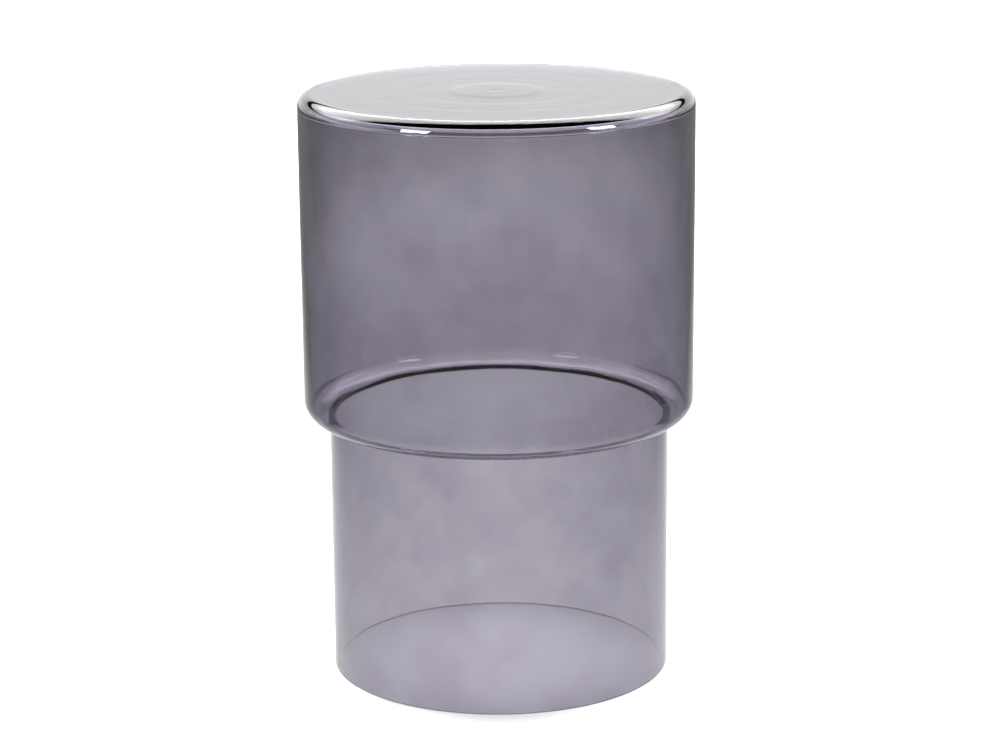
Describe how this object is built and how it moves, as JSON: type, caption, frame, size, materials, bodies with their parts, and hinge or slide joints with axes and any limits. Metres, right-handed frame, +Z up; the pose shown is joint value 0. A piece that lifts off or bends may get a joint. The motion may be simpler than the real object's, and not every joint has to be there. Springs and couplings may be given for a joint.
{
  "type": "stepped glass cylinder vase",
  "caption": "Smoked glass stepped cylinder vase standing on its open rim: a wide drum with a closed flat end, over a narrower open cylinder.",
  "frame": {"origin": "centre of the circle that the open rim stands on", "axes": "+Z up along the axis that both glass pieces share, from the open rim to the closed end"},
  "size_m": [0.3, 0.3, 0.45],
  "materials": {
    "smoked_glass": "polished clear glass, tinted violet grey through its thickness"
  },
  "bodies": {
    "root": {"closed_drum": "smoked_glass", "open_cylinder": "smoked_glass"}
  },
  "joints": []
}
